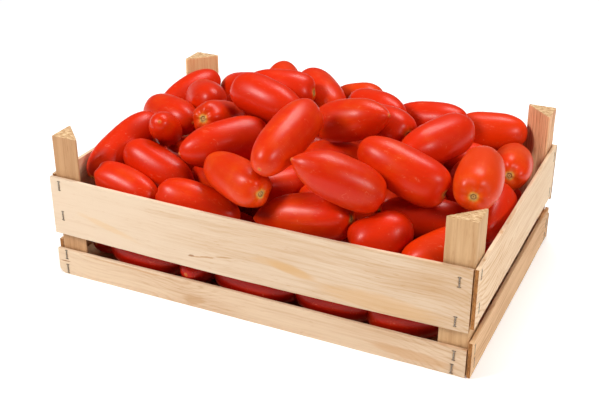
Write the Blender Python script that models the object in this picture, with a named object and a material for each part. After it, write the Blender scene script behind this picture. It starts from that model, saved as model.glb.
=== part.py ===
"""Plum tomatoes heaped in a small stackable wooden crate.

Frame: origin under the middle of the crate, X along its long side, -Y towards the front, Z up, metres.
The crate is four triangular corner posts, two thin boards on each side and a slatted floor. The tomatoes
are solids of revolution with a dimple at the stem end. Those on top are separate pieces; those below,
which only show through the slots, are joined into one piece.
"""
import bpy
import bmesh
import math
import numpy as np
from mathutils import Euler, Matrix, Vector

MM = 0.001
GAP = 0.3                      # clearance between pieces that rest on each other

# Crate, in millimetres
LENGTH = 400.0                 # outer length, along X
WIDTH = 266.0                  # outer width, along Y
BOARD = 4.0                    # thickness of the side boards
LONG_LOWER = (0.0, 26.3)       # bottom and top of the lower board on the long sides
LONG_UPPER = (42.6, 99.7)
SHORT_LOWER = (1.0, 34.2)      # the same on the short sides
SHORT_UPPER = (47.0, 101.1)
POST_TOP = 139.4
POST_LEG = 28.4                # legs of the right-angled triangle that a post is in plan
POST_BLUNT = 2.0               # its two sharp edges are cut off by this much
BOW = 4.0                      # the long upper boards bulge outwards at mid-length
FLOOR_BATTEN = (0.0, 5.0)      # three battens across, under the slats
BATTEN_WIDTH = 40.0
FLOOR_SLAT = (5.0, 9.0)        # five slats along the crate
SLAT_WIDTH = 46.0

# Tomatoes
STEM_ROUNDNESS = 2.7           # 2 is an ellipsoid; more makes the sides straighter and the end blunter
TIP_ROUNDNESS = 2.3
TAPER = 0.07                   # the stem end is this much fatter and the blossom end this much slimmer
DIMPLE = 1.6                   # depth of the hollow around the stem scar
SIDES, RINGS = 12, 8           # facets of a tomato of the heap
LOW_SIDES, LOW_RINGS = 10, 6   # facets of a tomato of the hidden layers
SETTLE_STEPS = 260
SETTLE_GAP = 0.6
COVER = 0.6                    # the balls that stand for a tomato are this much larger than it

# A tomato: middle (x, y, z), heading and tilt of its stem end in degrees, length, girth.
HEAP = [
    # along the back
    (-176, 80, 109, 240, -18, 74, 37),
    (-134, 36, 123, 130, -14, 68, 38),
    (-122, 98, 120, 155, -16, 72, 35),
    (-77, 101, 131, 130, 6, 58, 34),
    (-48, 39, 147, 14, -3, 72, 36),
    (-18, 68, 138, 136, 1, 84, 42),
    (2, 107, 124, -10, 12, 58, 33),
    (30, 74, 128, 155, -6, 76, 37),
    (61, 22, 137, -30, 6, 78, 40),
    (84, 90, 117, 178, -5, 78, 37),
    (138, 103, 117, 192, -4, 72, 40),
    # across the middle
    (-45, 1, 150, 164, 7, 78, 39),
    (46, -13, 151, 168, -20, 80, 39),
    (119, -4, 142, 64, 5, 82, 41),
    (-90, -9, 129, 270, 20, 74, 36),
    (-150, 6, 113, 153, -5, 78, 38),
    (-137, -41, 116, 113, -36, 56, 29),
    (-60, -57, 127, 52, 4, 86, 43),
    (16, -89, 150, 86, 17, 93, 42),
    (37, -15, 114, 176, -6, 76, 37),
    (117, -60, 131, -3, -21, 85, 41),
    (58, -91, 131, 20, -25, 83, 40),
    # along the right side
    (176, 55, 105, 279, 9, 76, 38),
    (160, -35, 130, 277, 0, 84, 43),
    (122, 76, 96, 160, -12, 66, 32),
    (182, -17, 88, 92, 14, 70, 33),
    # along the front
    (-181, -56, 104, 236, -26, 88, 38),
    (-123, -80, 100, 172, 14, 78, 37),
    (-120, -27, 99, 174, 0, 72, 34),
    (-127, -111, 99, 165, 8, 68, 33),
    (-54, -109, 97, 194, 12, 78, 36),
    (-20, -105, 113, -24, 5, 78, 41),
    (39, -108, 103, 6, 8, 90, 42),
    (124, -110, 90, 205, -14, 60, 38),
    (141, -77, 111, 200, 4, 80, 35),
    (143, -98, 88, 212, -18, 64, 37),
]
DEEP = [
    # lower down, seen between the others
    (-104, 61, 118, 172, 0, 66, 33),
    (-70, -66, 86, -10, 0, 70, 32),
    (-4, -56, 94, 57, -6, 78, 35),
    (56, -60, 94, 0, -2, 76, 34),
    (108, -16, 94, 68, 8, 76, 36),
    (-34, 24, 95, 16, 4, 78, 36),
    (148, 16, 96, 95, -4, 74, 35),
    (-46, -18, 90, 0, -6, 72, 34),
    (42, 50, 94, 10, 0, 80, 36),
    (90, 40, 96, 60, 0, 74, 35),
]
PULL = 0.08                    # how strongly a tomato is drawn back to its place while it settles
SLIDE = (115.1, -26.6)         # heading and tilt of the line along which it may slide more freely
SLIDE_PULL = 0.1              # share of the pull that is left along that line
DEEP_GIVES = 4.0               # a deep one gives way this many times as much as one on top
# The floor layer's front row, which shows in the slot: (x, y, heading, length, girth)
SLOT_ROW = [(-160, -84, 75, 66, 37), (-115, -107, 2, 80, 39), (-59, -91, 84, 78, 38),
            (-2, -108, 176, 84, 40), (72, -107, 5, 74, 39), (137, -106, 188, 70, 39)]


def lower_layers():
    """The two hidden layers: rows along the crate, the upper rows lying between the lower ones."""
    layers = [(x, y, 29.0, heading, 0.0, length, girth) for x, y, heading, length, girth in SLOT_ROW]
    for height, rows in ((29.5, (-64, -21, 21, 64, 107)), (57.5, (-86, -43, 0, 43, 86))):
        for row, y in enumerate(rows):
            count = 4 if row % 2 == 0 else 5
            length, reach = (93, 135) if count == 4 else (79, 151)
            for place, x in enumerate(np.linspace(-reach, reach, count)):
                heading = 7.0 * math.sin(2.4 * (row + 2 * place) + height) + 180 * ((row + place) % 2)
                layers.append((x, y, height, heading, 0.0, length, 40.0))
    return layers


def clear_scene():
    for obj in list(bpy.data.objects):
        bpy.data.objects.remove(obj, do_unlink=True)


def material(name, colour, roughness):
    mat = bpy.data.materials.new(name)
    mat.use_nodes = True
    shader = mat.node_tree.nodes["Principled BSDF"]
    shader.inputs["Base Color"].default_value = (*colour, 1.0)
    shader.inputs["Roughness"].default_value = roughness
    shader.inputs["Metallic"].default_value = 0.0
    mat.diffuse_color = (*colour, 1.0)
    return mat


def add(name, mesh, mat, collection):
    obj = bpy.data.objects.new(name, mesh)
    collection.objects.link(obj)
    mesh.materials.append(mat)
    return obj


# ---- crate ----

def box(bm, low, high):
    size = Vector(high) - Vector(low)
    place = Matrix.Translation((Vector(low) + Vector(high)) / 2) @ Matrix.Diagonal((*size, 1.0))
    return bmesh.ops.create_cube(bm, size=1.0, matrix=place)["verts"]


def box_mesh(name, boxes):
    bm = bmesh.new()
    for low, high in boxes:
        box(bm, [v * MM for v in low], [v * MM for v in high])
    mesh = bpy.data.meshes.new(name)
    bm.to_mesh(mesh)
    bm.free()
    return mesh


def long_board(name, side, span, bow, mat, collection):
    """A front (side -1) or back (side 1) board. Each laps one end of a short board."""
    half = LENGTH / 2
    inner = WIDTH / 2 - BOARD
    # the front boards reach the left face of the crate, the back boards its right face
    left, right = (-half, half - BOARD - GAP) if side < 0 else (-half + BOARD + GAP, half)
    bm = bmesh.new()
    box(bm, (left * MM, inner * MM, span[0] * MM), (right * MM, (inner + BOARD) * MM, span[1] * MM))
    if bow:
        lengthwise = [e for e in bm.edges if abs(e.verts[0].co.x - e.verts[1].co.x) > 0.1]
        bmesh.ops.subdivide_edges(bm, edges=lengthwise, cuts=9, use_grid_fill=True)
        for v in bm.verts:
            reach = v.co.x / (half * MM)
            v.co.y += bow * MM * max(0.0, 1.0 - reach * reach) ** 1.5
    if side < 0:
        for v in bm.verts:
            v.co.y = -v.co.y
        bmesh.ops.reverse_faces(bm, faces=bm.faces)
    mesh = bpy.data.meshes.new(name)
    bm.to_mesh(mesh)
    bm.free()
    return add(name, mesh, mat, collection)


def short_board(name, side, span, mat, collection):
    """A left (side -1) or right (side 1) board between the long boards' ends."""
    half = WIDTH / 2
    inner = LENGTH / 2 - BOARD
    # the right boards cover the front boards' ends, the left boards the back boards' ends
    front, back = (-half, half - BOARD - GAP) if side > 0 else (-half + BOARD + GAP, half)
    low, high = sorted((side * inner, side * (inner + BOARD)))
    mesh = box_mesh(name, [((low, front, span[0]), (high, back, span[1]))])
    return add(name, mesh, mat, collection)


def post(name, side_x, side_y, mat, collection):
    """A three-sided post whose right angle sits in a corner of the crate."""
    leg, cut = POST_LEG * MM, POST_BLUNT * MM
    outline = [(0, 0), (leg - cut, 0), (leg - cut, cut), (cut, leg - cut), (0, leg - cut)]
    height = (POST_TOP - FLOOR_SLAT[1] - GAP) * MM
    curve = bpy.data.curves.new(name, "CURVE")
    curve.dimensions = "2D"
    curve.fill_mode = "BOTH"
    curve.extrude = height / 2
    spline = curve.splines.new("POLY")
    spline.points.add(len(outline) - 1)
    for point, (x, y) in zip(spline.points, outline):
        point.co = (-side_x * x, -side_y * y, 0.0, 1.0)
    spline.use_cyclic_u = True
    obj = bpy.data.objects.new(name, curve)
    collection.objects.link(obj)
    curve.materials.append(mat)
    corner = (LENGTH / 2 - BOARD - GAP, WIDTH / 2 - BOARD - GAP)
    obj.location = (side_x * corner[0] * MM, side_y * corner[1] * MM, POST_TOP * MM - height / 2)
    return obj


def floor(mat, collection, helpers):
    """Five slats along the crate, joined to three battens across under them."""
    half_x = LENGTH / 2 - BOARD - GAP
    half_y = WIDTH / 2 - BOARD - GAP
    slats = []
    for y in np.linspace(-half_y + SLAT_WIDTH / 2, half_y - SLAT_WIDTH / 2, 5):
        low, high = (-half_x, y - SLAT_WIDTH / 2, FLOOR_SLAT[0]), (half_x, y + SLAT_WIDTH / 2, FLOOR_SLAT[1])
        slats.append((low, high))
    battens = []
    for x in (-half_x + BATTEN_WIDTH / 2, 0.0, half_x - BATTEN_WIDTH / 2):
        # the battens stop just inside the boards and bite a little way into the slats
        battens.append(((x - BATTEN_WIDTH / 2, -half_y, FLOOR_BATTEN[0]),
                        (x + BATTEN_WIDTH / 2, half_y, FLOOR_BATTEN[1] + 0.5)))
    obj = add("floor", box_mesh("floor", slats), mat, collection)
    helper = add("floor_battens", box_mesh("floor_battens", battens), mat, helpers)
    helper.hide_render = True
    helper.display_type = "WIRE"
    union = obj.modifiers.new("battens", "BOOLEAN")
    union.operation = "UNION"
    union.object = helper
    return obj


# ---- tomatoes ----

def pointing(heading, tilt):
    a, b = math.radians(heading), math.radians(tilt)
    return np.array([math.cos(a) * math.cos(b), math.sin(a) * math.cos(b), math.sin(b)])


def girth_at(t):
    """Radius of a tomato of radius 1 at t from -1 (blossom end) to 1 (stem end)."""
    roundness = STEM_ROUNDNESS if t > 0 else TIP_ROUNDNESS
    return (1.0 - abs(t) ** roundness) ** (1.0 / roundness) * (1.0 + TAPER * t)


def ball_chain(length, girth, count=8):
    """Balls along the axis that just cover the tomato: their places and radii."""
    half, radius = length / 2, girth / 2
    t = np.linspace(-1, 1, 161)
    rim = np.array([girth_at(v) for v in t]) * radius
    places = np.linspace(-half + 0.6 * radius, half - 0.6 * radius, count)
    radii = [np.sqrt((t * half - p) ** 2 + rim ** 2).min() for p in places]
    return places, np.array(radii) + COVER


def crate_planes():
    """What holds the heap, as (outward normal, distance, top): four boards and four posts' sloping faces."""
    corner = (LENGTH + WIDTH) / 2 - 2 * BOARD - POST_LEG + POST_BLUNT
    slopes = [np.array((x, y, 0)) / math.sqrt(2) for x in (1, -1) for y in (1, -1)]
    planes = [(slope, corner / math.sqrt(2), POST_TOP) for slope in slopes]
    planes += [(np.array((x, 0, 0)), LENGTH / 2 - BOARD, LONG_UPPER[1]) for x in (1, -1)]
    planes += [(np.array((0, y, 0)), WIDTH / 2 - BOARD, LONG_UPPER[1]) for y in (1, -1)]
    return planes


def pushes_from_fruit(i, balls, radius, give):
    """Each other tomato that tomato i overlaps pushes on one of its balls: (ball, force)."""
    apart = balls[i][None, :, None, :] - balls[:, None, :, :]
    distance = np.linalg.norm(apart, axis=-1)
    depth = radius[i][None, :, None] + radius[:, None, :] + SETTLE_GAP - distance
    depth[i] = -1.0
    flat = depth.reshape(len(balls), -1)
    best = flat.argmax(axis=1)
    pushes = []
    for j in np.nonzero(flat.max(axis=1) > 0)[0]:
        own, other = divmod(best[j], radius.shape[1])
        normal = apart[j, own, other] / max(distance[j, own, other], 1e-6)
        pushes.append((own, normal * flat[j, best[j]] * 0.5 * give[i] / (give[i] + give[j])))
    return pushes


def pushes_from_crate(balls, radius, planes, middle_x):
    """Each board or post that the tomato reaches into pushes on the ball that reaches furthest.

    A ball whose middle is above the top of a board may lean out over its edge, but not past the bow.
    """
    pushes = []
    for normal, limit, top in planes:
        bulge = BOW * max(0.0, 1 - (2 * middle_x / LENGTH) ** 2) ** 1.5 if abs(normal[1]) == 1 else 0.0
        rise = np.clip(balls[:, 2] - top, 0.0, None)
        spread = np.sqrt(np.clip((radius + SETTLE_GAP) ** 2 - rise ** 2, 0.0, None))
        reach = np.where(rise < radius, balls @ normal + spread - limit - bulge, -1.0)
        if abs(normal[1]) == 1:
            reach = np.maximum(reach, balls @ normal + radius - WIDTH / 2 - BOW)
        own = reach.argmax()
        if reach[own] > 0:
            pushes.append((own, -0.5 * reach[own] * normal))
    return pushes


def settle(rows, loose, give):
    """Ease the first so many tomatoes apart until nothing overlaps. The rest give way to nothing."""
    centre = np.array([row[:3] for row in rows], float)
    axis = np.array([pointing(row[3], row[4]) for row in rows])
    chains = [ball_chain(row[5], row[6]) for row in rows]
    place = np.array([c[0] for c in chains])
    radius = np.array([c[1] for c in chains])
    inertia = np.array([0.5 * (row[5] / 2) ** 2 for row in rows])
    home, home_axis = centre.copy(), axis.copy()
    planes, slide = crate_planes(), pointing(*SLIDE)
    for step in range(SETTLE_STEPS):
        balls = centre[:, None, :] + place[:, :, None] * axis[:, None, :]
        shift = np.zeros((loose, 3))
        turn = np.zeros((loose, 3))
        for i in range(loose):
            pushes = pushes_from_fruit(i, balls, radius, give)
            for own, force in pushes + pushes_from_crate(balls[i], radius[i], planes, centre[i][0]):
                shift[i] += force
                turn[i] += np.cross(place[i][own] * axis[i], force) / inertia[i]
        pull = PULL * max(0.0, 1.0 - step / (0.75 * SETTLE_STEPS))
        away = home[:loose] - centre[:loose]
        along = (away @ slide)[:, None] * slide
        centre[:loose] += shift + pull * (away - (1 - SLIDE_PULL) * along)
        axis[:loose] += 0.5 * np.cross(turn, axis[:loose]) + pull * (home_axis[:loose] - axis[:loose])
        axis /= np.linalg.norm(axis, axis=1)[:, None]
    return centre[:loose], axis[:loose]


def tomato_shape(bm, centre, axis, length, girth, sides, rings):
    """A body of revolution along the axis, stem end first, with a dimple there."""
    turn = Vector(axis).to_track_quat("Z", "Y").to_matrix().to_4x4()
    place = Matrix.Translation(Vector(centre) * MM) @ turn
    verts = bmesh.ops.create_uvsphere(bm, u_segments=sides, v_segments=rings, radius=1.0)["verts"]
    for v in verts:
        polar = math.acos(max(-1.0, min(1.0, v.co.z)))
        roundness = STEM_ROUNDNESS if v.co.z > 0 else TIP_ROUNDNESS
        along = math.copysign(abs(math.cos(polar)) ** (2.0 / roundness), v.co.z)
        around = math.atan2(v.co.y, v.co.x)
        radius = girth / 2 * girth_at(max(-1.0, min(1.0, along)))
        depth = DIMPLE if along > 0.999 else 0.0
        v.co = Vector((radius * math.cos(around), radius * math.sin(around), along * length / 2 - depth)) * MM
    bmesh.ops.transform(bm, matrix=place, verts=verts)


def tomato(name, centre, axis, length, girth, mat, collection):
    bm = bmesh.new()
    tomato_shape(bm, centre, axis, length, girth, SIDES, RINGS)
    mesh = bpy.data.meshes.new(name)
    bm.to_mesh(mesh)
    bm.free()
    mesh.shade_smooth()
    return add(name, mesh, mat, collection)


def joined_layers(layers, mat, collection, helpers):
    """The hidden tomatoes press against each other, and are joined where they touch."""
    meshes = []
    for name, rows in (("tomatoes_below", layers[1:]), ("first_tomato", layers[:1])):
        bm = bmesh.new()
        for x, y, z, heading, tilt, length, girth in rows:
            tomato_shape(bm, (x, y, z), pointing(heading, tilt), length, girth, LOW_SIDES, LOW_RINGS)
        mesh = bpy.data.meshes.new(name)
        bm.to_mesh(mesh)
        bm.free()
        meshes.append(mesh)
    obj = add("tomatoes_below", meshes[0], mat, collection)
    helper = add("first_tomato", meshes[1], mat, helpers)
    helper.hide_render = True
    helper.display_type = "WIRE"
    union = obj.modifiers.new("joined", "BOOLEAN")
    union.operation = "UNION"
    union.use_self = True
    union.object = helper
    return obj


def build():
    clear_scene()
    collection = bpy.data.collections.new("tomatoes_in_a_box")
    helpers = bpy.data.collections.new("helpers")
    bpy.context.scene.collection.children.link(collection)
    bpy.context.scene.collection.children.link(helpers)
    for side, word in ((-1, "front"), (1, "back")):
        pale = material(f"wood_{word}", (0.80, 0.66, 0.46), 0.7)
        long_board(f"board_{word}_lower", side, LONG_LOWER, 0.0, pale, collection)
        long_board(f"board_{word}_upper", side, LONG_UPPER, BOW, pale, collection)
    for side, word in ((-1, "left"), (1, "right")):
        tan = material(f"wood_{word}", (0.74, 0.58, 0.39), 0.7)
        short_board(f"board_{word}_lower", side, SHORT_LOWER, tan, collection)
        short_board(f"board_{word}_upper", side, SHORT_UPPER, tan, collection)
    stick = material("wood_post", (0.72, 0.55, 0.36), 0.75)
    for side_x, word_x in ((-1, "left"), (1, "right")):
        for side_y, word_y in ((-1, "front"), (1, "back")):
            post(f"post_{word_y}_{word_x}", side_x, side_y, stick, collection)
    floor(material("wood_floor", (0.74, 0.60, 0.42), 0.75), collection, helpers)
    heap, layers = HEAP + DEEP, lower_layers()
    give = np.array([1.0] * len(HEAP) + [DEEP_GIVES] * len(DEEP) + [0.0] * len(layers))
    centres, axes = settle(heap + layers, len(heap), give)
    for index, (row, centre, axis) in enumerate(zip(heap, centres, axes), start=1):
        red = material(f"skin_{index:02d}", (0.62, 0.03, 0.01), 0.25)
        tomato(f"tomato_{index:02d}", centre, axis, row[5], row[6], red, collection)
    joined_layers(layers, material("skin_below", (0.50, 0.02, 0.01), 0.25), collection, helpers)


build()
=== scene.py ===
# %% [markdown]
# # Plum tomatoes heaped in a small wooden crate
# The object is a shallow crate of thin sawn boards stapled to four triangular corner posts, filled to a
# heap with long red plum tomatoes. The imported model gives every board, post and tomato its place and
# size. This script dresses each of them: boards with grain and sawn ends, wire staples, and tomatoes
# with a stem scar, a blossom tip and a waxy skin.

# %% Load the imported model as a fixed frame
import math
import bpy
import bmesh
import numpy as np
from mathutils import Matrix, Vector, noise


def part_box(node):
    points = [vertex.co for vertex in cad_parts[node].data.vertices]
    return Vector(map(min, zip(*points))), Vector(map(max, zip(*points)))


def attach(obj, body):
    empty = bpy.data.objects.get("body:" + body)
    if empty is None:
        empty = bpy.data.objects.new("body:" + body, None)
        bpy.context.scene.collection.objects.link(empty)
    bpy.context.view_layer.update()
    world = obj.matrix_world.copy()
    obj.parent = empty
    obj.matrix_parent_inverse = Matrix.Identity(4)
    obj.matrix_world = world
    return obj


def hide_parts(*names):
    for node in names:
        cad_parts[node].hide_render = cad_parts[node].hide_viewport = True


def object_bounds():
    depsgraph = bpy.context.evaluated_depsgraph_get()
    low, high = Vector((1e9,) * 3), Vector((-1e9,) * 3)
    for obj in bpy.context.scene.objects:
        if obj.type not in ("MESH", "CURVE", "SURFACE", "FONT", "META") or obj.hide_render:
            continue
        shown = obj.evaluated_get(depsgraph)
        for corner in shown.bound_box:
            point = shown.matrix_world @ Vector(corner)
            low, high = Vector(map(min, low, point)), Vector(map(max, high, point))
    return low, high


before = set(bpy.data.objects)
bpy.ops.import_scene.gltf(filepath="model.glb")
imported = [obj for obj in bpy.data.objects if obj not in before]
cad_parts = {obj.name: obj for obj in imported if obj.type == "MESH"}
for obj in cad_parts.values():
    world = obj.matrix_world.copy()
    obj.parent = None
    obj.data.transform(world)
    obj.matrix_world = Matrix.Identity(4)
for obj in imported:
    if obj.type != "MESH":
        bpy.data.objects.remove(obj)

CAD_BOX = [list(corner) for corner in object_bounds()]
NODES = sorted(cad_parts)
TOMATOES = [name for name in NODES if name.startswith("tomato_")]
BOARDS = [name for name in NODES if name.startswith("board_")]
POSTS = [name for name in NODES if name.startswith("post_")]
MM = 0.001
print("loaded", len(NODES), "nodes:", len(BOARDS), "boards,", len(POSTS), "posts,", len(TOMATOES), "tomatoes")

# %% [markdown]
# ## Shader arithmetic
# A finish is mostly arithmetic on patterns: a stripe times a mask plus a stain. `Field` wraps a node's
# output, so that such a formula is written as a Python expression, and each operator adds a Math node.
# `Finish` holds one material and has one method, `node`, for every other kind of node.

# %% Field: a socket that does arithmetic
class Field:
    def __init__(self, tree, socket):
        self.tree = tree
        self.socket = socket

    def math(self, operation, first, second=0.0):
        node = self.tree.nodes.new("ShaderNodeMath")
        node.operation = operation
        for slot, value in zip(node.inputs, (first, second)):
            if isinstance(value, Field):
                self.tree.links.new(value.socket, slot)
            else:
                slot.default_value = value
        return Field(self.tree, node.outputs[0])

    def __add__(self, other):
        return self.math("ADD", self, other)

    def __sub__(self, other):
        return self.math("SUBTRACT", self, other)

    def __rsub__(self, other):
        return self.math("SUBTRACT", other, self)

    def __mul__(self, other):
        return self.math("MULTIPLY", self, other)

    def __truediv__(self, other):
        return self.math("DIVIDE", self, other)

    def __pow__(self, other):
        return self.math("POWER", self, other)

    __radd__ = __add__
    __rmul__ = __mul__


print("Field adds a Math node for each of + - * / and **")

# %% Finish: one material and its nodes
def paint(red, green, blue):
    """A colour given as on a paint chart, 0 to 255, turned into the linear light a shader works in."""
    shares = [value / 255 for value in (red, green, blue)]
    return (*(v / 12.92 if v <= 0.04 else ((v + 0.055) / 1.055) ** 2.4 for v in shares), 1.0)


class Finish:
    def __init__(self, name, **plain):
        self.material = bpy.data.materials.new(name)
        self.material.use_nodes = True
        self.tree = self.material.node_tree
        self.shader = self.tree.nodes["Principled BSDF"]
        for socket, value in plain.items():
            self.shader.inputs[socket.replace("_", " ")].default_value = value

    def node(self, kind, settings=None, inputs=None, output=0):
        node = self.tree.nodes.new("ShaderNode" + kind)
        for key, value in (settings or {}).items():
            setattr(node, key, value)
        for key, value in (inputs or {}).items():
            if isinstance(value, Field):
                self.tree.links.new(value.socket, node.inputs[key])
            else:
                node.inputs[key].default_value = value
        return Field(self.tree, node.outputs[output])

    def feed(self, socket, value):
        self.tree.links.new(value.socket, self.shader.inputs[socket])

    def place(self, scale=(1, 1, 1), shift=(0, 0, 0), turn=(0, 0, 0)):
        """The object's own coordinates, in metres, stretched and shifted."""
        values = {"Vector": self.node("TexCoord", output="Object"),
                  "Scale": scale, "Location": shift, "Rotation": turn}
        return self.node("Mapping", None, values)

    def axis(self, where, name):
        return self.node("SeparateXYZ", None, {"Vector": where}, output=name)

    def attribute(self, name, output="Fac"):
        return self.node("Attribute", {"attribute_name": name}, output=output)

    def noise(self, where, scale=1.0, detail=3.0, roughness=0.55, distortion=0.0):
        values = {"Vector": where, "Scale": scale, "Detail": detail, "Roughness": roughness,
                  "Distortion": distortion}
        return self.node("TexNoise", None, values)

    def rise(self, value, low, high):
        """0 below low, 1 above high, and a smooth step between them. It falls if low is above high."""
        flip = low > high
        ends = {"From Min": min(low, high), "From Max": max(low, high),
                "To Min": 1.0 if flip else 0.0, "To Max": 0.0 if flip else 1.0}
        return self.node("MapRange", {"interpolation_type": "SMOOTHSTEP"}, {"Value": value, **ends})

    def mix(self, amount, under, over):
        """Two colours, blended by an amount from 0, all under, to 1, all over."""
        factor, first, second, result = 0, 6, 7, 2       # the colour sockets of a Mix node
        settings = {"data_type": "RGBA", "blend_type": "MIX", "clamp_factor": True}
        return self.node("Mix", settings, {factor: amount, first: under, second: over}, output=result)

    def bump(self, height, strength, distance):
        return self.node("Bump", None, {"Height": height, "Strength": strength, "Distance": distance})


print("shader helpers ready")

# %% [markdown]
# ## Sawn softwood
# The boards are thin softwood, sawn flat across the rings, so that a board's face shows long lines where
# it cuts the rings and arches where it just grazes them. A ring is a surface of equal distance from the
# tree's heart. The finish works that distance out, as the root of the height on the board squared plus
# the depth under it squared, where the depth wanders slowly along the board. Stripes of that distance
# give the lines and the arches, faintly. Long uneven streaks of tan, fine fibres, short dark flecks and a
# broad change of tone from one end to the other lie over them.

# %% A finish for wood whose grain runs along one axis
def stretched(grain, along, over):
    """A scale that draws a pattern out along the grain."""
    return tuple(along if axis == grain else over for axis in "xyz")


def wood(name, grain, across, light, dark, seed, ring=0.0035, contrast=0.35, sweep=0.0, marks=()):
    """grain and across are the axes "x", "y" or "z" along the fibres and over the face's width."""
    skin = Finish(name, Roughness=0.62, Specular_IOR_Level=0.3)
    shift = (0.37 * seed, 0.23 * seed, 0.41 * seed)
    length = skin.axis(skin.place(), grain.upper())
    breadth = skin.axis(skin.place(), across.upper())
    wander = skin.noise(skin.place(stretched(grain, 6.0, 0.0), shift), 1.0, 2.0, 0.5)
    wobble = skin.noise(skin.place(stretched(grain, 9.0, 60.0), shift), 1.0, 3.0, 0.55)
    depth = wander * 0.12 - 0.035
    height = breadth + 0.03 * math.sin(seed) + (wobble - 0.5) * 0.012
    distance = (height * height + depth * depth) ** 0.5
    stripe = skin.node("Math", {"operation": "SINE"}, {0: distance * (2 * math.pi / ring) + wobble * 9.0})
    late = skin.rise(stripe, 0.1, 1.0)
    fibre = skin.noise(skin.place(stretched(grain, 40.0, 1500.0), shift), 1.0, 3.0, 0.65)
    streak = skin.noise(skin.place(stretched(grain, 8.0, 240.0), shift), 1.0, 5.0, 0.62)
    fleck = skin.noise(skin.place(stretched(grain, 110.0, 900.0), shift), 1.0, 1.0, 0.5)
    fleck = skin.rise(fleck, 0.62, 0.78)
    broad = skin.noise(skin.place(stretched(grain, 8.0, 40.0), shift), 1.0, 3.0, 0.55)
    ring_strength = skin.rise(wander + wobble * 0.5, 0.55, 1.05) * contrast + 0.15 * contrast
    tone = late * ring_strength + (streak - 0.5) * 1.7 + (fibre - 0.5) * 0.5 + (broad - 0.5) * 1.2
    tone = tone + fleck * 0.3 + length * sweep
    colour = skin.mix(skin.rise(tone, -0.45, 1.1), light, dark)
    for mark in marks:
        colour = mark(skin, colour)
    skin.feed("Base Color", colour)
    skin.feed("Roughness", 0.56 + fibre * 0.2)
    skin.feed("Normal", skin.bump(fibre * 0.6 + streak * 0.4 - late * 0.2, 0.4, 0.0004))
    return skin.material


def end_grain(name, upright, colour, dark, seed):
    """The sawn end of a board: torn fibres in short dark strokes, upright being the long way of the end."""
    skin = Finish(name, Roughness=0.8, Specular_IOR_Level=0.2)
    torn = skin.noise(skin.place(stretched(upright, 240.0, 700.0), (seed, seed, seed)), 1.0, 4.0, 0.7)
    skin.feed("Base Color", skin.mix(skin.rise(torn, 0.3, 0.7), dark, colour))
    skin.feed("Normal", skin.bump(torn, 0.8, 0.0008))
    return skin.material


print("wood finishes ready")

# %% [markdown]
# ## Marks on the boards
# The front boards carry a few marks that catch the eye: a tan lens where a knot's flank was cut, a thin
# dark pitch streak and a brown smudge on the lower board. Each is an ellipse in the board's face with a
# soft edge, broken up by noise, so that a mark is a function that repaints the colour below it. The wood
# also goes dark around every staple: at the holes of its legs, where the wire split the fibres and rusted,
# and in a thin band along the crown, which is a little rust with a painted shadow of the crown over it.

# %% Elliptical marks in the face of a board, in millimetres
def lens(along, z, half_along, half_z, tilt, tint, strength, ragged, axis="X"):
    """A soft-edged ellipse about a place on the board, tilted by so many degrees."""
    def repaint(skin, colour):
        turn = math.radians(tilt)
        where = skin.place()
        da = skin.axis(where, axis) - along * MM
        dz = skin.axis(where, "Z") - z * MM
        u = (da * math.cos(turn) + dz * math.sin(turn)) / (half_along * MM)
        v = (dz * math.cos(turn) - da * math.sin(turn)) / (half_z * MM)
        rough = skin.noise(skin.place((60, 60, 500)), 1.0, 3.0, 0.6)
        reach = (u * u + v * v) ** 0.5 + (rough - 0.5) * ragged
        return skin.mix(skin.rise(reach, 1.0, 0.5) * strength, colour, tint)
    return repaint


TAN = paint(216, 172, 120)
MARKS = {
    "board_front_upper": [
        lens(30, 67, 30, 5.0, -3, TAN, 0.5, 0.6),
        lens(44, 64, 27, 5.5, -9, TAN, 0.8, 0.3),
        lens(-52, 55, 4, 1.2, 8, paint(150, 98, 54), 0.8, 1.6),
        lens(-38, 57, 18, 1.0, 10, paint(190, 140, 92), 0.7, 2.0),
        lens(-20, 61, 16, 0.9, 10, paint(190, 142, 92), 0.7, 1.8),
        lens(-140, 62, 38, 4, -12, paint(226, 190, 146), 0.6, 0.9),
        lens(120, 52, 64, 11, -3, paint(220, 178, 130), 0.6, 0.7)],
    "board_front_lower": [
        lens(-54, 8, 14, 5.5, 4, paint(196, 148, 100), 0.55, 1.6),
        lens(-192, 14, 7, 0.7, 2, paint(150, 92, 48), 0.9, 0.8),
        lens(-120, 24, 60, 1.4, -1, paint(200, 146, 98), 0.6, 1.4),
        lens(150, 9, 45, 6, -3, paint(205, 150, 96), 0.45, 0.8)],
}

STAPLES = {                    # the middle of each staple on a board: along it, and up
    "board_front_upper": [(-190, 92), (-189, 62), (185, 87), (184, 51)],
    "board_front_lower": [(-190, 21), (-190, 6), (185, 19), (184, 6)],
    "board_back_upper": [(-186, 90), (-187, 58), (187, 88), (186, 54)],
    "board_back_lower": [(-187, 20), (-186, 7), (186, 21), (187, 7)],
    "board_right_upper": [(-124, 93), (-123, 62), (123, 91), (120, 55)],
    "board_right_lower": [(-124, 24), (-123, 11), (122, 19), (120, 6)],
    "board_left_upper": [(-122, 90), (-123, 57), (123, 92), (122, 60)],
    "board_left_lower": [(-123, 20), (-122, 7), (122, 22), (123, 8)],
}
LEG_HOLE = 4.3                 # from the middle of a staple to the holes of its legs
# the colour of the thin band along each crown: a little rust with a painted shadow of the crown
RUST_AND_CROWN_SHADOW = paint(150, 104, 64)
HOLE_RIM = paint(74, 46, 28)


def grain_of(name):
    """The axis that a board runs along."""
    return "x" if ("front" in name or "back" in name) else "y"


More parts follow.
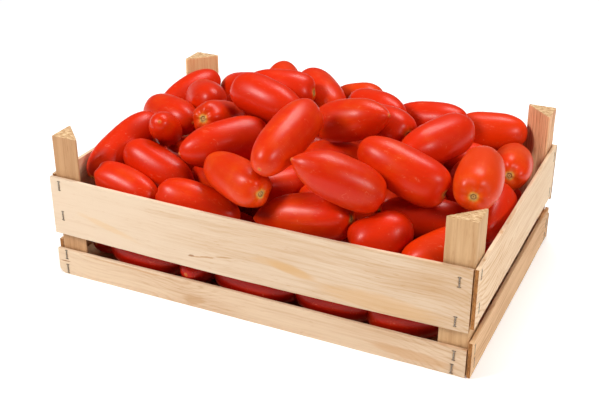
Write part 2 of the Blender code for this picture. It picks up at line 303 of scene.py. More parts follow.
def staple_marks_and_shadow(name):
    axis = grain_of(name).upper()
    marks = []
    for along, z in STAPLES[name]:
        # painted shadow of the crown, over a little rust, in a thin band down the middle of the staple
        marks.append(lens(along, z, 1.5, 5.0, 3, RUST_AND_CROWN_SHADOW, 0.6, 1.0, axis))
        marks.append(lens(along, z + LEG_HOLE, 2.2, 0.9, 0, HOLE_RIM, 0.85, 0.8, axis))
        marks.append(lens(along, z - LEG_HOLE, 2.2, 0.9, 0, HOLE_RIM, 0.85, 0.8, axis))
    return marks


print("board marks:", sum(len(marks) for marks in MARKS.values()),
      "staple marks:", sum(len(staple_marks_and_shadow(name)) for name in STAPLES))

# %% The finish of every wooden part
SAWN_END = end_grain("sawn_end", "z", paint(190, 128, 70), paint(126, 78, 38), 1.3)
BOARD_TONES = {                # light, dark, number, strength of the rings, darkening to the far end
    "board_front_upper": (paint(227, 202, 174), paint(200, 158, 114), 1.0, 0.3, 2.0),
    "board_front_lower": (paint(230, 202, 170), paint(194, 148, 106), 2.1, 0.3, 1.0),
    "board_back_upper": (paint(232, 204, 168), paint(200, 154, 106), 3.7, 0.5, 0.5),
    "board_back_lower": (paint(228, 196, 158), paint(194, 146, 98), 4.9, 0.4, -0.5),
    "board_right_upper": (paint(242, 214, 180), paint(212, 166, 118), 5.3, 0.7, -0.5),
    "board_right_lower": (paint(230, 188, 142), paint(186, 130, 80), 6.6, 0.6, 0.5),
    "board_left_upper": (paint(232, 204, 168), paint(200, 152, 104), 7.4, 0.5, 0.5),
    "board_left_lower": (paint(226, 192, 152), paint(190, 142, 96), 8.8, 0.4, -0.5),
}
WOODS = {}
for name, (light, dark, seed, contrast, sweep) in BOARD_TONES.items():
    WOODS[name] = wood(name.replace("board", "wood"), grain_of(name), "z", light, dark, seed,
                       contrast=contrast, sweep=sweep, marks=MARKS.get(name, []) + staple_marks_and_shadow(name))
POST_TONES = {                 # light, dark, number, strength of the rings
    "post_front_right": (paint(214, 173, 127), paint(176, 125, 77), 9.2, 0.2),
    "post_front_left": (paint(200, 154, 110), paint(158, 108, 66), 9.9, 0.2),
    # the two back posts are painted lighter and more orange: painted light, for the red light bounced onto
    # their shaded inner faces
    "post_back_left": (paint(255, 222, 162), paint(226, 152, 96), 10.4, 0.3),
    "post_back_right": (paint(246, 194, 146), paint(178, 108, 66), 13.7, 0.5),
}
for name, (light, dark, seed, contrast) in POST_TONES.items():
    WOODS[name] = wood("wood_" + name, "z", "x", light, dark, seed, ring=0.0025, contrast=contrast)
POST_TOP = end_grain("post_top", "x", paint(236, 204, 160), paint(170, 118, 68), 3.1)
FLOOR_WOOD = wood("wood_floor", "x", "y", paint(228, 196, 152), paint(184, 136, 88), 11.5)
BATTEN_WOOD = wood("wood_batten", "y", "x", paint(226, 192, 148), paint(180, 132, 84), 12.1)
print("wood finishes:", len(WOODS) + 2)

# %% [markdown]
# ## Boards
# A board starts as a cube stretched to its node's box and cut into many short lengths, so that it can
# bow and warp. Its edges get a hair of bevel, since a saw leaves them square but handling rubs them. The
# upper long boards bulge outwards at mid-length, pushed by the load, and the bulge is read from the
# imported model. The two ends take the darker end grain.

# %% Helpers that turn a mesh or a bmesh into a finished piece
def mesh_piece(mesh, name, materials, nodes=()):
    """A piece of the object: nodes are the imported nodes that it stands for."""
    piece = bpy.data.objects.new(name, mesh)
    bpy.context.scene.collection.objects.link(piece)
    for material in materials:
        mesh.materials.append(material)
    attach(piece, "root")
    if nodes:
        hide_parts(*nodes)


def finish_piece(bm, name, materials, nodes=(), smooth=True):
    bmesh.ops.recalc_face_normals(bm, faces=bm.faces)
    mesh = bpy.data.meshes.new(name)
    bm.to_mesh(mesh)
    bm.free()
    if smooth:
        mesh.shade_smooth()
    mesh_piece(mesh, name, materials, nodes)


print("piece helpers ready")

# %% Helpers that make and cut a length of wood
def stretched_cube(bm, low, high):
    low, high = Vector(low), Vector(high)
    size = Matrix.Diagonal((*(high - low), 1.0))
    bmesh.ops.create_cube(bm, size=1.0, matrix=Matrix.Translation((low + high) / 2) @ size)


def cut_lengths(bm, axis, pitch):
    """Cuts every edge that runs along the axis into lengths of about the pitch."""
    edges = [e for e in bm.edges if abs((e.verts[0].co - e.verts[1].co)[axis]) > 1.5 * pitch]
    if edges:
        span = max(abs((e.verts[0].co - e.verts[1].co)[axis]) for e in edges)
        bmesh.ops.subdivide_edges(bm, edges=edges, cuts=int(span / pitch), use_grid_fill=True)


EDGE = 0.45 * MM               # the bevel along every edge


def bevelled_cube(low, high):
    bm = bmesh.new()
    stretched_cube(bm, low, high)
    bmesh.ops.bevel(bm, geom=bm.edges[:], offset=EDGE, segments=2, profile=0.5, affect="EDGES", material=-1)
    return bm


print("wood helpers ready")

# %% Build the eight boards
THICKNESS = 4.0 * MM
SPARE = 0.35 * MM              # left free inside the node's box for warp
CUT = 5.0 * MM                 # the length of a board's faces


def lie_of(name):
    """A board's box, the axis along it, the axis through it, and 1 or -1 for the side it faces."""
    low, high = (Vector(corner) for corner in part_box(name))
    long_way = 0 if high.x - low.x > high.y - low.y else 1
    out_way = 1 - long_way
    outward = 1.0 if low[out_way] + high[out_way] > 0 else -1.0
    return low, high, long_way, out_way, outward


def wear_corner(bm, low):
    """The bottom left corner of the lower front board is chipped off in a rough curve."""
    for v in bm.verts:
        from_end = (v.co.x - low.x) / MM
        from_foot = (v.co.z - low.z) / MM
        chip = 4.0 - from_end - 0.8 * from_foot
        if chip > 0:
            v.co.x += 0.6 * chip * MM
            v.co.z += 0.5 * chip * MM * (from_foot < 4)


def board(name):
    low, high, long_way, out_way, outward = lie_of(name)
    bow = (high[out_way] - low[out_way]) - THICKNESS
    if outward > 0:
        high[out_way] -= bow
    else:
        low[out_way] += bow
    low += Vector((SPARE, SPARE, 0.0))
    high -= Vector((SPARE, SPARE, 0.0))
    bm = bevelled_cube(low, high)
    cut_lengths(bm, long_way, CUT)
    cut_lengths(bm, 2, CUT)
    middle = (low + high) / 2
    half = (high - low) / 2
    seed = 10.0 * BOARDS.index(name)
    for v in bm.verts:
        t = v.co[long_way] / half[long_way]
        along = noise.noise(Vector((v.co[long_way] * 14, v.co.z * 9, seed)))
        v.co[out_way] += outward * bow * max(0.0, 1 - t * t) ** 1.5 + 0.25 * MM * along
        end = abs(v.co[long_way] - middle[long_way]) > half[long_way] - 0.1 * MM
        if end:
            torn = noise.noise(Vector((v.co.z * 260, v.co[out_way] * 500, seed)))
            v.co[long_way] -= math.copysign(0.5 * MM * abs(torn), v.co[long_way] - middle[long_way])
        rim = (v.co.z - middle.z) / half.z
        if abs(rim) > 0.9:
            v.co.z -= math.copysign(0.35 * MM * abs(noise.noise(Vector((v.co[long_way] * 30, 3, seed)))), rim)
    if name == "board_front_lower":
        wear_corner(bm, low)
    bmesh.ops.recalc_face_normals(bm, faces=bm.faces)
    for face in bm.faces:
        if abs(face.normal[long_way]) > 0.7:
            face.material_index = 1
    finish_piece(bm, "fine_" + name, (WOODS[name], SAWN_END), [name], smooth=False)


for name in BOARDS:
    board(name)
print("boards built:", len(BOARDS))

# %% [markdown]
# ## Corner posts
# A post is a stick of triangular section, cut across with a coarse saw. Its node already has the outline,
# so a merged copy of its mesh is a good start. A voxel remesh gives it an even skin of small faces, and
# then each point moves a little: the faces wander by a hair, and the sawn top becomes rough and torn.

# %% Helpers that copy a node's mesh and give it even faces
def merged_copy(name):
    bm = bmesh.new()
    bm.from_mesh(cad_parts[name].data)
    bmesh.ops.remove_doubles(bm, verts=bm.verts, dist=1e-6)
    bmesh.ops.recalc_face_normals(bm, faces=bm.faces)
    mesh = bpy.data.meshes.new(name + "_copy")
    bm.to_mesh(mesh)
    bm.free()
    return mesh


def remeshed(mesh, voxel):
    """An even skin of quads over the mesh, as a new bmesh."""
    helper = bpy.data.objects.new("helper", mesh)
    bpy.context.scene.collection.objects.link(helper)
    modifier = helper.modifiers.new("skin", "REMESH")
    modifier.mode = "VOXEL"
    modifier.voxel_size = voxel
    evaluated = helper.evaluated_get(bpy.context.evaluated_depsgraph_get())
    bm = bmesh.new()
    bm.from_mesh(evaluated.to_mesh())
    evaluated.to_mesh_clear()
    bpy.data.objects.remove(helper, do_unlink=True)
    return bm


print("remesh helpers ready")

# %% Build the four posts
POST_FACES = 1.0 * MM          # the size of a post's faces
SAW_CUT = 1.2 * MM             # how deep the saw tore the top


def post(name):
    low, high = (Vector(corner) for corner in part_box(name))
    bm = remeshed(merged_copy(name), POST_FACES)
    seed = 7.0 * POSTS.index(name)
    bm.normal_update()
    moves = []
    for v in bm.verts:
        point = v.co / MM
        fine = noise.noise(Vector((point.x * 0.5, point.y * 0.5, point.z * 0.06 + seed)))
        shift = v.normal * (0.22 * fine - 0.25) * MM
        if v.co.z > high.z - SAW_CUT:
            torn = noise.fractal(Vector((point.x * 0.6, point.y * 0.6, seed)), 1.0, 2.0, 3)
            shift = Vector((0, 0, (-0.6 + 0.4 * torn) * MM)) + Vector((v.normal.x, v.normal.y, 0)) * -0.3 * MM
        moves.append((v, shift))
    for v, shift in moves:
        v.co += shift
        v.co.z = min(v.co.z, high.z)
    for face in bm.faces:
        if face.normal.z > 0.6 and face.calc_center_median().z > high.z - 3 * MM:
            face.material_index = 1
    finish_piece(bm, "fine_" + name, (WOODS[name], POST_TOP), [name])


for name in POSTS:
    post(name)
print("posts built:", len(POSTS))

# %% [markdown]
# ## The floor
# Under the fruit, slats run along the crate on three battens. They are separate strips of wood, so each
# is a bevelled cube of its own. The slats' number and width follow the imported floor.

# %% Build slats and battens
SLATS, SLAT_WIDTH = 5, 46.0 * MM
BATTENS, BATTEN_WIDTH = 3, 40.0 * MM
SLAT_LEVEL = 5.0 * MM          # the underside of the slats, which lie on the battens
FLOOR_CUT = 10.0 * MM
ROOM = 0.15 * MM               # left free above and below for unevenness


def strip(low, high, long_way):
    bm = bevelled_cube(low, high)
    cut_lengths(bm, long_way, FLOOR_CUT)
    for v in bm.verts:
        v.co.z += 0.12 * MM * noise.noise(v.co * 30)
    return bm


def floor():
    low, high = (Vector(corner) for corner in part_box("floor"))
    slat_rows = np.linspace(low.y + SLAT_WIDTH / 2, high.y - SLAT_WIDTH / 2, SLATS)
    batten_rows = np.linspace(low.x + BATTEN_WIDTH / 2, high.x - BATTEN_WIDTH / 2, BATTENS)
    for index, y in enumerate(slat_rows):
        bm = strip((low.x, y - SLAT_WIDTH / 2 + 0.2 * MM, SLAT_LEVEL + ROOM),
                   (high.x, y + SLAT_WIDTH / 2 - 0.2 * MM, high.z - ROOM), 0)
        finish_piece(bm, f"floor_slat_{index + 1}", (FLOOR_WOOD,), ["floor"], smooth=False)
    for index, x in enumerate(batten_rows):
        bm = strip((x - BATTEN_WIDTH / 2, low.y, low.z + ROOM),
                   (x + BATTEN_WIDTH / 2, high.y, SLAT_LEVEL - 0.05 * MM), 1)
        finish_piece(bm, f"floor_batten_{index + 1}", (BATTEN_WOOD,), ["floor"], smooth=False)


floor()
print("floor strips built:", SLATS + BATTENS)

# %% [markdown]
# ## Staples
# Two wire staples hold each board end to its post. A staple is a round wire bent twice at right angles:
# its crown lies upright on the board and its legs go straight in. A circle of wire is drawn along it:
# extruded for the straight runs and spun for the bends. One mesh holds all the staples of a board.

# %% A grey wire finish with rubbed and rusty spots
def wire_finish():
    skin = Finish("staple_wire", Metallic=0.6, Roughness=0.45)
    spots = skin.noise(skin.place(), 900.0, 3.0, 0.6)
    skin.feed("Base Color", skin.mix(skin.rise(spots, 0.4, 0.65), paint(158, 148, 134), paint(104, 84, 66)))
    skin.feed("Roughness", 0.38 + spots * 0.3)
    skin.feed("Normal", skin.bump(spots, 0.3, 0.0001))
    return skin.material


WIRE_FINISH = wire_finish()
print("finish ready:", WIRE_FINISH.name)

# %% Bend one staple from a circle of wire
WIRE = 0.6 * MM                # the wire's radius
CROWN = 9.0 * MM               # the length of the crown
BEND = 0.9 * MM                # the radius of the two bends
LEG = 2.0 * MM                 # how far the legs go in


def extruded(part, edges, shift):
    """Extrudes the open ring of edges by a shift and returns the new ring."""
    made = bmesh.ops.extrude_edge_only(part, edges=edges)["geom"]
    moved = [item for item in made if isinstance(item, bmesh.types.BMVert)]
    bmesh.ops.translate(part, verts=moved, vec=shift)
    return [item for item in made if isinstance(item, bmesh.types.BMEdge) and len(item.link_faces) == 1]


def bent(part, edges, pivot):
    """Spins the open ring a quarter turn about a pivot and returns the new ring."""
    made = bmesh.ops.spin(part, geom=edges, cent=pivot, axis=(0, 1, 0), angle=math.radians(90), steps=4,
                          dvec=(0, 0, 0), use_merge=False, use_duplicate=False)["geom_last"]
    return [item for item in made if isinstance(item, bmesh.types.BMEdge)]


def staple(bm, centre, outward, lean):
    """centre is the crown's middle; outward points out of the board; lean turns the crown in its face."""
    part = bmesh.new()
    bmesh.ops.create_circle(part, segments=8, radius=WIRE, matrix=Matrix.Translation((0, 0, -LEG)))
    ring = extruded(part, part.edges[:], (0, 0, LEG - BEND))
    ring = bent(part, ring, (BEND, 0, -BEND))
    ring = extruded(part, ring, (CROWN - 2 * BEND, 0, 0))
    ring = bent(part, ring, (CROWN - BEND, 0, -BEND))
    extruded(part, ring, (0, 0, BEND - LEG))
    bmesh.ops.translate(part, verts=part.verts, vec=(-CROWN / 2, 0, 0))
    up = Vector((0, 0, 1))
    crown = (up * math.cos(lean) + up.cross(outward) * math.sin(lean)).normalized()
    turn = Matrix((crown, outward.cross(crown), outward)).transposed().to_4x4()
    bmesh.ops.transform(part, matrix=Matrix.Translation(centre) @ turn, verts=part.verts)
    mesh = bpy.data.meshes.new("staple")
    part.to_mesh(mesh)
    part.free()
    bm.from_mesh(mesh)
    bpy.data.meshes.remove(mesh)


print("a staple's crown is", round(CROWN / MM, 1), "mm long")

# %% Set the staples of each board
REACH = (199.98 * MM, 133.58 * MM)   # how far out the crowns stand, on the short sides and the long ones
LOWEST = 0.56 * CROWN          # a staple's middle is at least this far above the foot of its board


def staples(name):
    low, high, long_way, out_way, sign = lie_of(name)
    outward = Vector((0, 0, 0))
    outward[out_way] = sign
    bm = bmesh.new()
    for row, (along, z) in enumerate(STAPLES[name]):
        lean = 0.10 * noise.noise(Vector((along * 0.7, z * 0.9, row))) + 0.03
        centre = Vector((0, 0, max(z * MM, low.z + LOWEST)))
        centre[long_way] = along * MM
        centre[out_way] = sign * (REACH[out_way] - WIRE)
        staple(bm, centre, outward, lean)
    bmesh.ops.holes_fill(bm, edges=[e for e in bm.edges if len(e.link_faces) == 1], sides=0)
    finish_piece(bm, name.replace("board", "staples"), (WIRE_FINISH,))


for name in BOARDS:
    staples(name)
print("staples set:", 4 * len(BOARDS))

# %% [markdown]
# ## Where each tomato lies
# A tomato's node is a plain solid of revolution, so its two poles are the points where most edges meet.
# The line through them is the axis. The stem end is the pole with the hollow: it stands out less from
# the ring of points around it. The widest ring gives the girth.

# %% Read axis, length and girth from a node
HOLLOW = 1.6 * MM              # how far the stem pole lies below the shoulder


def pose_of(name):
    bm = bmesh.new()
    bm.from_mesh(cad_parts[name].data)
    bmesh.ops.remove_doubles(bm, verts=bm.verts, dist=1e-6)
    poles = sorted(bm.verts, key=lambda v: len(v.link_edges))[-2:]
    heights = []
    for pole, other in (poles, poles[::-1]):
        axis = (pole.co - other.co).normalized()
        ring = [e.other_vert(pole).co for e in pole.link_edges]
        heights.append(sum((pole.co - point).dot(axis) for point in ring) / len(ring))
    stem, tip = poles if heights[0] < heights[1] else poles[::-1]
    axis = (stem.co - tip.co).normalized()
    length = (stem.co - tip.co).length + HOLLOW
    centre = tip.co + axis * length / 2
    girth = 2 * max((v.co - centre - axis * (v.co - centre).dot(axis)).length for v in bm.verts)
    bm.free()
    return centre, axis, length, girth


POSES = {name: pose_of(name) for name in TOMATOES}
lengths = [length / MM for centre, axis, length, girth in POSES.values()]
print("tomatoes placed:", len(POSES), "from", round(min(lengths)), "to", round(max(lengths)), "mm long")

# %% [markdown]
# ## The hidden layers
# Under the heap lie two layers that show only through the slots. Their node is one joined solid, so
# their places are laid out again here by the same rule as in the crate's model: a front row chosen to
# show in the slot, rows along the crate behind it, and a second layer in the hollows of the first.

# %% Rows of the two layers below, in millimetres and degrees
SLOT_ROW = [(-160, -84, 75, 66, 37), (-115, -107, 2, 80, 39), (-59, -91, 84, 78, 38),
            (-2, -108, 176, 84, 40), (72, -107, 5, 74, 39), (137, -106, 188, 70, 39)]


def lower_rows():
    rows = [(x, y, 29.0, heading, length, girth) for x, y, heading, length, girth in SLOT_ROW]
    for height, lines in ((29.5, (-64, -21, 21, 64, 107)), (57.5, (-86, -43, 0, 43, 86))):
        for row, y in enumerate(lines):
            count = 4 if row % 2 == 0 else 5
            length, reach = (93, 135) if count == 4 else (79, 151)
            for place, x in enumerate(np.linspace(-reach, reach, count)):
                heading = 7.0 * math.sin(2.4 * (row + 2 * place) + height) + 180 * ((row + place) % 2)
                rows.append((x, y, height, heading, length, 40.0))
    return rows


SHRINK = 0.985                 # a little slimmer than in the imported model, so that they don't press
LOWER = []
for x, y, z, heading, length, girth in lower_rows():
    way = math.radians(heading)
    axis = Vector((math.cos(way), math.sin(way), 0.0))
    LOWER.append((Vector((x, y, z)) * MM, axis, length * MM, girth * MM * SHRINK))
print("tomatoes in the layers below:", len(LOWER))

# %% [markdown]
# ## The shape of a plum tomato
# A plum tomato is long, with almost straight sides, a blunt stem end and a slimmer blossom end. It is
# seldom quite round: it bends a little, has shallow furrows that run out from the stem, and a small
# pointed tip. At the stem a round scar sits in a hollow. A sphere has the right layout of faces, with
# rings about an axis. So two spheres are made, a fine one for the heap and a plain one for the layers
# below, and every tomato is a copy whose points are moved onto the outline. The rings crowd together near
# both ends, where the detail is. Each tomato draws its bend, furrows and lumps from its own number, and a
# few in plain view have theirs given one by one.

# %% Two spheres to copy
def sphere(sides, rings):
    bm = bmesh.new()
    bmesh.ops.create_uvsphere(bm, u_segments=sides, v_segments=rings, radius=1.0)
    bmesh.ops.recalc_face_normals(bm, faces=bm.faces)
    mesh = bpy.data.meshes.new("sphere")
    bm.to_mesh(mesh)
    bm.free()
    mesh.shade_smooth()
    return mesh


FINE_SPHERE = sphere(56, 48)
PLAIN_SPHERE = sphere(32, 24)
print("sphere faces:", len(FINE_SPHERE.polygons), len(PLAIN_SPHERE.polygons))

# %% The outline of a tomato, and what each one draws from its number
TAPER = 0.07                   # how much wider the stem end is, and slimmer the other


def bell(value, middle, spread):
    return np.exp(-((value - middle) / spread) ** 2)


def angles(mesh):
    """The angle of each point about the sphere's axis, and from its top, crowded towards both ends."""
    flat = np.empty(len(mesh.vertices) * 3)
    mesh.vertices.foreach_get("co", flat)
    x, y, z = flat.reshape(-1, 3).T
    share = np.arccos(np.clip(z, -1, 1)) / math.pi
    return np.arctan2(y, x), math.pi * (share - 0.125 * np.sin(2 * math.pi * share))


def outline(polar, pointed, blocky):
    """How far along the axis, from 1 at the stem to -1, and how far out from it, in shares."""
    stem_side = polar < math.pi / 2
    power = 2.0 / np.where(stem_side, 2.3 + 0.9 * blocky, 2.6 - 0.5 * pointed)
    along = np.sign(np.cos(polar)) * np.abs(np.cos(polar)) ** power
    rim = np.abs(np.sin(polar)) ** power * (1 + TAPER * along)
    rim *= 1 - 0.16 * pointed * np.clip(-along - 0.35, 0, 1) ** 2 / 0.42
    return along, rim


def drawn(seed, bend, lobes):
    """The size and way of the bend, the number, depth and way of the furrows, and the tone."""
    pick = np.random.RandomState(seed)
    bend_way, bend_size = pick.uniform(0, 2 * math.pi), pick.uniform(0.3, 1.3)
    lobe_way, lobe_count = pick.uniform(0, 2 * math.pi), pick.choice((3, 4, 5))
    lobe_depth, tone = pick.uniform(0.2, 0.7), pick.uniform(0, 1)
    if lobes is not None:
        lobe_count, lobe_depth = lobes
    if bend is not None:
        bend_size, bend_way = bend[0], math.radians(bend[1])
    return bend_size, bend_way, lobe_count, lobe_depth, lobe_way, tone


print("outline ready, widest share:", round(float(outline(np.linspace(0, math.pi, 99), 0, 0.6)[1].max()), 2))

# %% Move the points of a sphere onto the outline of a tomato
FAR = 60.0                     # the distance from an end, in mm, that points of the other half get


def tomato_mesh(source, centre, axis, length, girth, seed, slim=1.0, short=1.0, pointed=0.15, blocky=0.6,
                bend=None, lobes=None):
    """A tomato about centre with its stem end along axis.

    pointed and blocky, from 0 to about 1, shape its two ends. slim and short are shares of the girth and
    length. bend is a size in millimetres and a direction in degrees, and lobes are the number of furrows
    and their depth in millimetres.
    """
    bend_size, bend_way, lobe_count, lobe_depth, lobe_way, tone = drawn(seed, bend, lobes)
    mesh = source.copy()
    around, polar = angles(mesh)
    along, rim = outline(polar, pointed, blocky)
    half, radius = short * length / MM / 2, slim * girth / MM / 2
    rim *= radius
    furrow = 0.5 - 0.5 * np.cos(lobe_count * (around - lobe_way))
    shoulder = np.clip(along, 0, 1) ** 2
    rim -= lobe_depth * furrow * (0.2 + 1.6 * shoulder) * np.minimum(1, rim / 6)
    height = along * half
    stem_end = np.clip(along * 3 - 1, 0, 1)
    height -= stem_end * HOLLOW / MM * bell(rim, 0, 5.2)
    height -= stem_end * 1.3 * lobe_depth * furrow * np.minimum(1, rim / 5) * shoulder
    height += stem_end * (0.45 * bell(rim, 2.7, 0.7) - 0.3 * bell(rim, 1.7, 0.5))
    tip_end = np.clip(-along * 3 - 1, 0, 1)
    height += tip_end * (0.5 + 1.4 * pointed) * (1 - bell(rim, 0, 0.9 + 1.6 * pointed))
    lump = np.array([noise.noise(Vector((1.3 * math.cos(a), 1.3 * math.sin(a), 1.5 * t + 5.7 * seed)))
                     for a, t in zip(around, along)])
    rim *= 0.985 + 0.03 * lump
    off = bend_size * (0.6 - along ** 2)
    places = np.column_stack((rim * np.cos(around) + off * math.cos(bend_way),
                              rim * np.sin(around) + off * math.sin(bend_way), height)) * MM
    turn = np.array(Vector(axis).to_track_quat("Z", "Y").to_matrix())
    places = places @ turn.T + np.array(centre)
    too_high = places[:, 2].max() - CAD_BOX[1][2] + 0.1 * MM
    places[:, 2] -= max(0.0, too_high)
    mesh.vertices.foreach_set("co", places.ravel())
    for name, values in (("stem", np.where(along > 0, rim, FAR)), ("tip", np.where(along < 0, rim, FAR)),
                         ("tone", np.full(len(rim), tone))):
        mesh.attributes.new(name, "FLOAT", "POINT").data.foreach_set("value", values)
    local = np.column_stack((np.cos(around), np.sin(around), along))
    mesh.attributes.new("local", "FLOAT_VECTOR", "POINT").data.foreach_set("vector", local.ravel())
    mesh.update()
    return mesh


print("tomato shaper ready")

# %% [markdown]
# ## Tomato skin
# Ripe skin is a deep clear red with a thin waxy coat. Light goes a little way into the flesh, so the
# finish has some subsurface scattering. Around the stem scar the red fades through orange to a yellow
# green halo, and the scar is a corky tan ring with a darker groove. Tiny pale pores, short scuffs and
# cloudy orange patches break the colour up. The stem and tip attributes give the distance from each end,
# and the tone attribute makes each fruit a little riper or paler.

# %% The skin finish
def tomato_skin(name, ripe, orange):
    skin = Finish(name, Roughness=0.3, Coat_Weight=0.04, Coat_Roughness=0.14, Specular_IOR_Level=0.22)
    skin.shader.inputs["Subsurface Weight"].default_value = 0.04
    skin.shader.inputs["Subsurface Radius"].default_value = (0.010, 0.002, 0.001)
    skin.shader.inputs["Subsurface Scale"].default_value = 0.5
    stem = skin.attribute("stem")
    tip = skin.attribute("tip")
    tone = skin.attribute("tone")
    local = skin.attribute("local", "Vector")
    cloud = skin.noise(skin.place(), 38.0, 3.0, 0.5)
    mottle = skin.noise(skin.place(), 150.0, 4.0, 0.6)
    streak_map = skin.node("Mapping", None, {"Vector": local, "Scale": (7.0, 7.0, 1.2)})
    streak = skin.noise(streak_map, 1.6, 3.0, 0.6)
    pale = skin.rise(cloud + (tone - 0.5) * 0.35 + (mottle - 0.5) * 0.25 + (streak - 0.5) * 0.3, 0.42, 0.95)
    colour = skin.mix(pale * 0.55, ripe, orange)
    colour = skin.mix(skin.rise(tone, 0.6, 1.0) * 0.5, colour, paint(188, 20, 0))
    pores = skin.node("TexVoronoi", {"feature": "F1"}, {"Vector": skin.place(), "Scale": 420.0})
    pore = skin.rise(pores, 0.16, 0.06) * skin.rise(mottle, 0.45, 0.7)
    colour = skin.mix(pore * 0.45, colour, paint(252, 160, 104))
    # halo, scar and tip
    ray = (streak - 0.5) * 3.0
    colour = skin.mix(skin.rise(stem + ray, 9.5, 3.6) * 0.7, colour, paint(226, 96, 18))
    colour = skin.mix(skin.rise(stem + ray * 0.6, 5.4, 3.2) * 0.8, colour, paint(210, 158, 62))
    cork = skin.noise(skin.place(), 900.0, 3.0, 0.6)
    colour = skin.mix(skin.rise(stem, 3.4, 2.8), colour, paint(200, 156, 92))
    groove = skin.rise(stem, 2.8, 2.2) * skin.rise(stem, 1.2, 1.7)
    colour = skin.mix(groove * 0.7, colour, paint(122, 78, 40))
    core = skin.rise(stem, 0.75, 0.35)
    colour = skin.mix(core * 0.8, colour, paint(120, 70, 36))
    colour = skin.mix(skin.rise(tip, 2.6, 1.2) * 0.6, colour, paint(216, 120, 50))
    colour = skin.mix(skin.rise(tip, 0.9, 0.5) * 0.8, colour, paint(160, 104, 56))
    scuff = skin.noise(skin.place((120.0, 420.0, 200.0), turn=(0.4, 0.9, 0.3)), 1.0, 2.0, 0.5, 1.5)
    scuff = skin.rise(scuff, 0.64, 0.76)
    skin.feed("Base Color", skin.mix(scuff * 0.2, colour, paint(250, 150, 110)))
    scar = skin.rise(stem, 4.0, 3.0)
    skin.feed("Roughness", 0.28 + mottle * 0.14 + scar * 0.4 + scuff * 0.12)
    skin.feed("Coat Weight", 0.04 - scar * 0.04)
    relief = mottle * 0.25 + cloud * 0.6 + cork * scar * 1.2 - scuff * 0.1
    skin.feed("Normal", skin.bump(relief, 0.22, 0.0006))
    return skin.material


SKINS = {
    "deep": tomato_skin("skin_deep", paint(215, 40, 0), paint(231, 82, 8)),
    "bright": tomato_skin("skin_bright", paint(220, 50, 0), paint(233, 94, 12)),
    "orange": tomato_skin("skin_orange", paint(220, 58, 2), paint(236, 110, 34)),
    # the layers below get a darker copy of the skin: painted shade, for fruit that lie in the shadow of the
    # boards
    "low": tomato_skin("skin_below_painted_shade", paint(186, 20, 0), paint(206, 54, 6)),
}
print("tomato skins:", ", ".join(SKINS))

# %% Build every tomato of the heap
HAND = {                       # fruits in plain view, shaped one by one
    "tomato_02": {"lobes": (3, 0.8)},
    "tomato_03": {"pointed": 0.5},
    "tomato_05": {"pointed": 0.3, "blocky": 1.0},
    "tomato_08": {"pointed": 0.6},
    "tomato_13": {"pointed": 1.0, "blocky": 0.4},
    "tomato_14": {"slim": 0.96, "pointed": 0.4, "blocky": 1.0, "lobes": (4, 0.5)},
    "tomato_15": {"blocky": 1.0, "lobes": (5, 0.9)},
    "tomato_18": {"pointed": 0.7},
    "tomato_19": {"slim": 0.93, "pointed": 0.0, "blocky": 0.9, "lobes": (3, 0.8)},
    "tomato_21": {"blocky": 1.0, "lobes": (2, 1.3), "bend": (1.2, 200)},
    "tomato_22": {"pointed": 1.1, "blocky": 0.9, "lobes": (4, 0.5)},
    "tomato_23": {"lobes": (4, 1.0)},
    "tomato_24": {"slim": 0.95, "blocky": 0.8, "lobes": (5, 0.5)},
    "tomato_28": {"pointed": 0.5},
    "tomato_32": {"slim": 0.92, "pointed": 0.0, "blocky": 1.0, "lobes": (4, 0.9)},
    "tomato_33": {"pointed": 1.0, "blocky": 1.2, "lobes": (4, 0.6)},
    "tomato_34": {"slim": 1.06, "short": 0.9, "blocky": 1.2, "lobes": (5, 0.7)},
}
PALER = {"tomato_24": "orange", "tomato_07": "orange", "tomato_23": "bright", "tomato_11": "bright",
         "tomato_32": "bright", "tomato_15": "bright", "tomato_36": "bright", "tomato_04": "bright"}
for index, (name, (centre, axis, length, girth)) in enumerate(sorted(POSES.items())):
    mesh = tomato_mesh(FINE_SPHERE, centre, axis, length, girth, index + 1, **HAND.get(name, {}))
    mesh_piece(mesh, "fine_" + name, (SKINS[PALER.get(name, "deep")],), [name])
print("heap tomatoes built:", len(POSES))

# %% Build the layers below as one piece
FIRST_NUMBER = 100             # their numbers start above those of the heap
layers = bmesh.new()
for index, (centre, axis, length, girth) in enumerate(LOWER):
    mesh = tomato_mesh(PLAIN_SPHERE, centre, axis, length, girth, FIRST_NUMBER + index)
    layers.from_mesh(mesh)
    bpy.data.meshes.remove(mesh)
print("layers below:", len(layers.faces), "faces")
# the layers below take the darker skin, as painted shade for the fruit in the boards' shadow
finish_piece(layers, "fine_tomatoes_below", (SKINS["low"],), ["tomatoes_below"])

# %% [markdown]
# ## Ground and light
# The crate stands on a plain pale ground in soft studio light: a softbox from the upper left, a smaller
# one from the right, a large one above and behind, and a faint even surround. The ground glows a little,
# so that it stays pale where the softboxes don't reach.

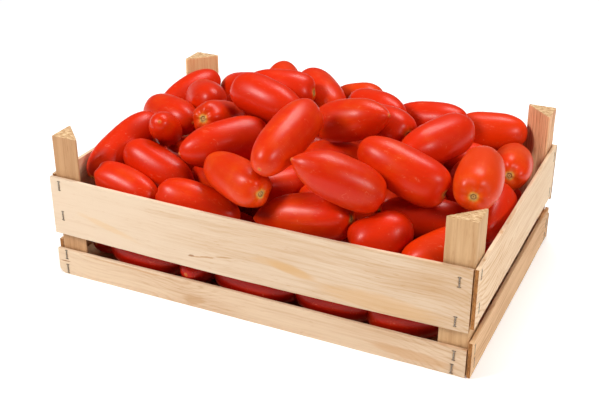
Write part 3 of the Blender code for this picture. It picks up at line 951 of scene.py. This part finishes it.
# %% Ground
def ground():
    bm = bmesh.new()
    bmesh.ops.create_grid(bm, x_segments=1, y_segments=1, size=6.0)
    mesh = bpy.data.meshes.new("ground")
    bm.to_mesh(mesh)
    bm.free()
    piece = bpy.data.objects.new("ground", mesh)
    bpy.context.scene.collection.objects.link(piece)
    skin = Finish("ground_white", Base_Color=(0.93, 0.93, 0.93, 1), Roughness=0.9, Specular_IOR_Level=0.1,
                  Emission_Color=(1, 1, 1, 1), Emission_Strength=0.22)
    mesh.materials.append(skin.material)


ground()
print("ground laid")

# %% Light
def softbox(name, place, target, size, power):
    light = bpy.data.lights.new(name, "AREA")
    light.shape = "RECTANGLE"
    light.size, light.size_y = size
    light.energy = power
    holder = bpy.data.objects.new(name, light)
    bpy.context.scene.collection.objects.link(holder)
    holder.location = place
    aim = Vector(target) - Vector(place)
    holder.rotation_euler = aim.to_track_quat("-Z", "Y").to_euler()


HEAP = (0, 0, 0.1)
softbox("key_left", (-1.0, -1.0, 1.3), HEAP, (0.5, 0.5), 25)
softbox("fill_right", (1.3, -0.5, 0.9), HEAP, (0.4, 0.4), 10)
softbox("top", (0.1, 0.7, 1.6), HEAP, (0.9, 0.6), 19)
world = bpy.data.worlds.new("studio")
bpy.context.scene.world = world
world.use_nodes = True
world.node_tree.nodes["Background"].inputs["Color"].default_value = (1, 1, 1, 1)
world.node_tree.nodes["Background"].inputs["Strength"].default_value = 0.1
bpy.context.scene.view_settings.view_transform = "Standard"
print("lights set")

# %% [markdown]
# ## Camera
# The camera looks down on the crate from the front right, from about a metre away.

# %% Camera
AZIMUTH, ELEVATION = 25.1, 26.6      # in degrees, to the right of the front and above level
DISTANCE = 0.978               # in metres, from the point it aims at
LENS = 62.0                    # in millimetres
AIM = Vector((-0.0083, -0.0081, 0.060))
camera = bpy.data.objects.new("camera", bpy.data.cameras.new("camera"))
bpy.context.scene.collection.objects.link(camera)
turn, lift = math.radians(AZIMUTH), math.radians(ELEVATION)
back = Vector((math.sin(turn) * math.cos(lift), -math.cos(turn) * math.cos(lift), math.sin(lift)))
camera.location = AIM + back * DISTANCE
camera.rotation_euler = back.to_track_quat("Z", "Y").to_euler()
camera.data.sensor_width = 36.0
camera.data.lens = LENS
bpy.context.scene.camera = camera
print("camera at", [round(v, 3) for v in camera.location])
